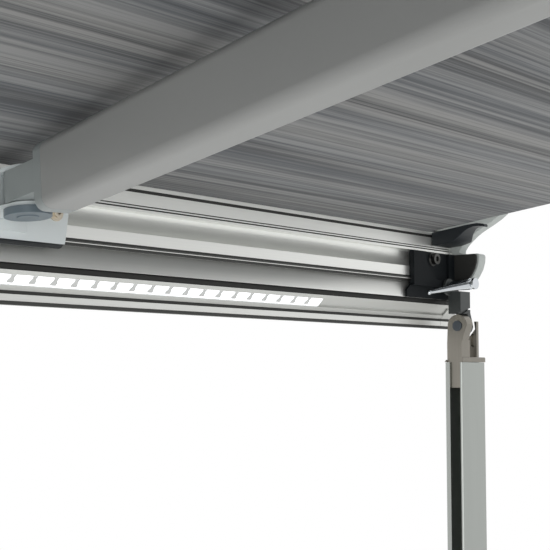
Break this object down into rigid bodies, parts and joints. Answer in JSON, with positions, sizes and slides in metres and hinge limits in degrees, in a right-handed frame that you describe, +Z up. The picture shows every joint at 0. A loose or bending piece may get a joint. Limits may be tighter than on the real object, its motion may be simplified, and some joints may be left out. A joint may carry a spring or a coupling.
{
  "type": "roll out awning",
  "caption": "Cassette awning for a caravan or camper wall: fabric on a cranked roller, folding spring arms, lead rail with a light strip, and two folding legs.",
  "frame": {"origin": "middle of the centre wall bracket's back face, on the vehicle wall", "axes": "+X along the cassette, +Y into the vehicle wall, +Z up; the awning rolls out towards -Y"},
  "size_m": [3.58, 2.3909, 2.5518],
  "materials": {
    "cassette_aluminium": "satin",
    "cover_grey": "satin",
    "black_plastic": "satin",
    "dark_plate": "satin",
    "rail_aluminium": "anodised",
    "led_lens": "gloss",
    "casting": "satin",
    "arm_coating": "satin",
    "steel": "brushed",
    "bolt_zinc": "zinc plated",
    "chrome": "polished",
    "bronze": "machined",
    "swivel_grey": "satin",
    "fork_steel": "brushed",
    "leg_aluminium": "anodised",
    "leg_insert": "anodised",
    "rubber": "matte",
    "awning_fabric": "woven"
  },
  "bodies": {
    "cassette": {"cassette_housing": "cassette_aluminium", "left_cassette_cap": "cover_grey", "right_cassette_cap": "cover_grey", "cap_screws": "steel", "wall_brackets": "casting", "bracket_screws": "steel", "roller_bushes": "cover_grey", "gearbox_housing": "black_plastic", "shoulder_brackets": "casting", "shoulder_pins": "steel", "seal_strip": "rubber", "fabric_canopy": "awning_fabric"},
    "roller": {"roller_tube": "cassette_aluminium", "roller_plugs": "black_plastic", "fabric_roll": "awning_fabric", "worm_wheel": "bronze"},
    "crank": {"crank_shaft": "steel", "worm": "steel"},
    "left_upper_arm": {"left_upper_tube": "arm_coating", "left_upper_castings": "casting", "left_elbow_pin": "steel", "left_arm_spring": "steel"},
    "left_forearm": {"left_forearm_tube": "arm_coating", "left_forearm_castings": "casting"},
    "right_upper_arm": {"right_upper_tube": "arm_coating", "right_upper_castings": "casting", "right_elbow_pin": "steel", "right_arm_spring": "steel"},
    "right_forearm": {"right_forearm_tube": "arm_coating", "right_forearm_castings": "casting"},
    "lead_rail": {"lead_rail": "rail_aluminium", "led_strip": "led_lens", "keder_rod": "awning_fabric", "arm_brackets": "casting", "wrist_pins": "steel", "bracket_bolts": "bolt_zinc", "rail_caps": "black_plastic", "cap_bolts": "steel", "end_plates": "dark_plate", "end_covers": "cover_grey", "hook_wings": "black_plastic", "leg_clips": "black_plastic"},
    "left_swivel": {"left_leg_swivel": "swivel_grey", "left_swivel_pin": "chrome"},
    "left_leg": {"left_leg_fork": "fork_steel", "left_lean_pin": "fork_steel", "left_outer_leg": "leg_aluminium", "left_leg_clamp": "black_plastic"},
    "left_inner": {"left_inner_leg": "leg_insert", "left_foot": "rubber"},
    "left_lever": {"left_clamp_lever": "chrome"},
    "right_swivel": {"right_leg_swivel": "swivel_grey", "right_swivel_pin": "chrome"},
    "right_leg": {"right_leg_fork": "fork_steel", "right_lean_pin": "fork_steel", "right_outer_leg": "leg_aluminium", "right_leg_clamp": "black_plastic"},
    "right_inner": {"right_inner_leg": "leg_insert", "right_foot": "rubber"},
    "right_lever": {"right_clamp_lever": "chrome"}
  },
  "joints": [
    {"name": "left_shoulder", "type": "hinge", "parent": "cassette", "child": "left_upper_arm", "pos_m": [-1.21, -0.033, -0.0363], "axis": [0, -0.0906, 0.9959], "range_deg": [0, 78], "deforming": ["fabric_canopy"]},
    {"name": "left_elbow", "type": "hinge", "parent": "left_upper_arm", "child": "left_forearm", "pos_m": [-0.98771, -1.17189, -0.13995], "axis": [0, -0.0906, 0.9959], "range_deg": [-156, 0]},
    {"name": "left_wrist", "type": "hinge", "parent": "left_forearm", "child": "lead_rail", "pos_m": [-1.21, -2.31078, -0.24359], "axis": [0, -0.0906, 0.9959], "range_deg": [0, 78]},
    {"name": "right_shoulder", "type": "hinge", "parent": "cassette", "child": "right_upper_arm", "pos_m": [1.21, -0.033, -0.0363], "axis": [0, -0.0906, 0.9959], "range_deg": [-78, 0]},
    {"name": "right_elbow", "type": "hinge", "parent": "right_upper_arm", "child": "right_forearm", "pos_m": [0.98771, -1.17189, -0.13995], "axis": [0, -0.0906, 0.9959], "range_deg": [0, 156]},
    {"name": "roller_spin", "type": "hinge", "parent": "cassette", "child": "roller", "pos_m": [0, -0.056, 0.026], "axis": [1, 0, 0], "continuous": true},
    {"name": "crank_spin", "type": "hinge", "parent": "cassette", "child": "crank", "pos_m": [1.74, -0.0319, 0.026], "axis": [0, 0, 1], "continuous": true},
    {"name": "left_leg_swing", "type": "hinge", "parent": "lead_rail", "child": "left_swivel", "pos_m": [-1.734, -2.34428, -0.27409], "axis": [0, -1, 0], "range_deg": [0, 90]},
    {"name": "left_leg_lean", "type": "hinge", "parent": "left_swivel", "child": "left_leg", "pos_m": [-1.754, -2.33478, -0.31119], "axis": [-1, 0, 0], "range_deg": [-35, 0]},
    {"name": "left_leg_slide", "type": "slide", "parent": "left_leg", "child": "left_inner", "axis": [0, 0, 1], "range_m": [0, 0.8]},
    {"name": "left_clamp_turn", "type": "hinge", "parent": "left_leg", "child": "left_lever", "pos_m": [-1.756, -2.32003, -1.58159], "axis": [-1, 0, 0], "range_deg": [0, 65]},
    {"name": "right_leg_swing", "type": "hinge", "parent": "lead_rail", "child": "right_swivel", "pos_m": [1.734, -2.34428, -0.27409], "axis": [0, 1, 0], "range_deg": [0, 90]},
    {"name": "right_leg_lean", "type": "hinge", "parent": "right_swivel", "child": "right_leg", "pos_m": [1.754, -2.33478, -0.31119], "axis": [-1, 0, 0], "range_deg": [-35, 0]},
    {"name": "right_leg_slide", "type": "slide", "parent": "right_leg", "child": "right_inner", "axis": [0, 0, 1], "range_m": [0, 0.8]},
    {"name": "right_clamp_turn", "type": "hinge", "parent": "right_leg", "child": "right_lever", "pos_m": [1.756, -2.32003, -1.58159], "axis": [-1, 0, 0], "range_deg": [0, 65]}
  ],
  "couplings": [
    {"joint": "left_elbow", "follows": "left_shoulder", "ratio": -2},
    {"joint": "left_wrist", "follows": "left_shoulder", "ratio": 1},
    {"joint": "right_shoulder", "follows": "left_shoulder", "ratio": -1},
    {"joint": "right_elbow", "follows": "left_shoulder", "ratio": 2},
    {"joint": "crank_spin", "follows": "roller_spin", "ratio": 8}
  ]
}
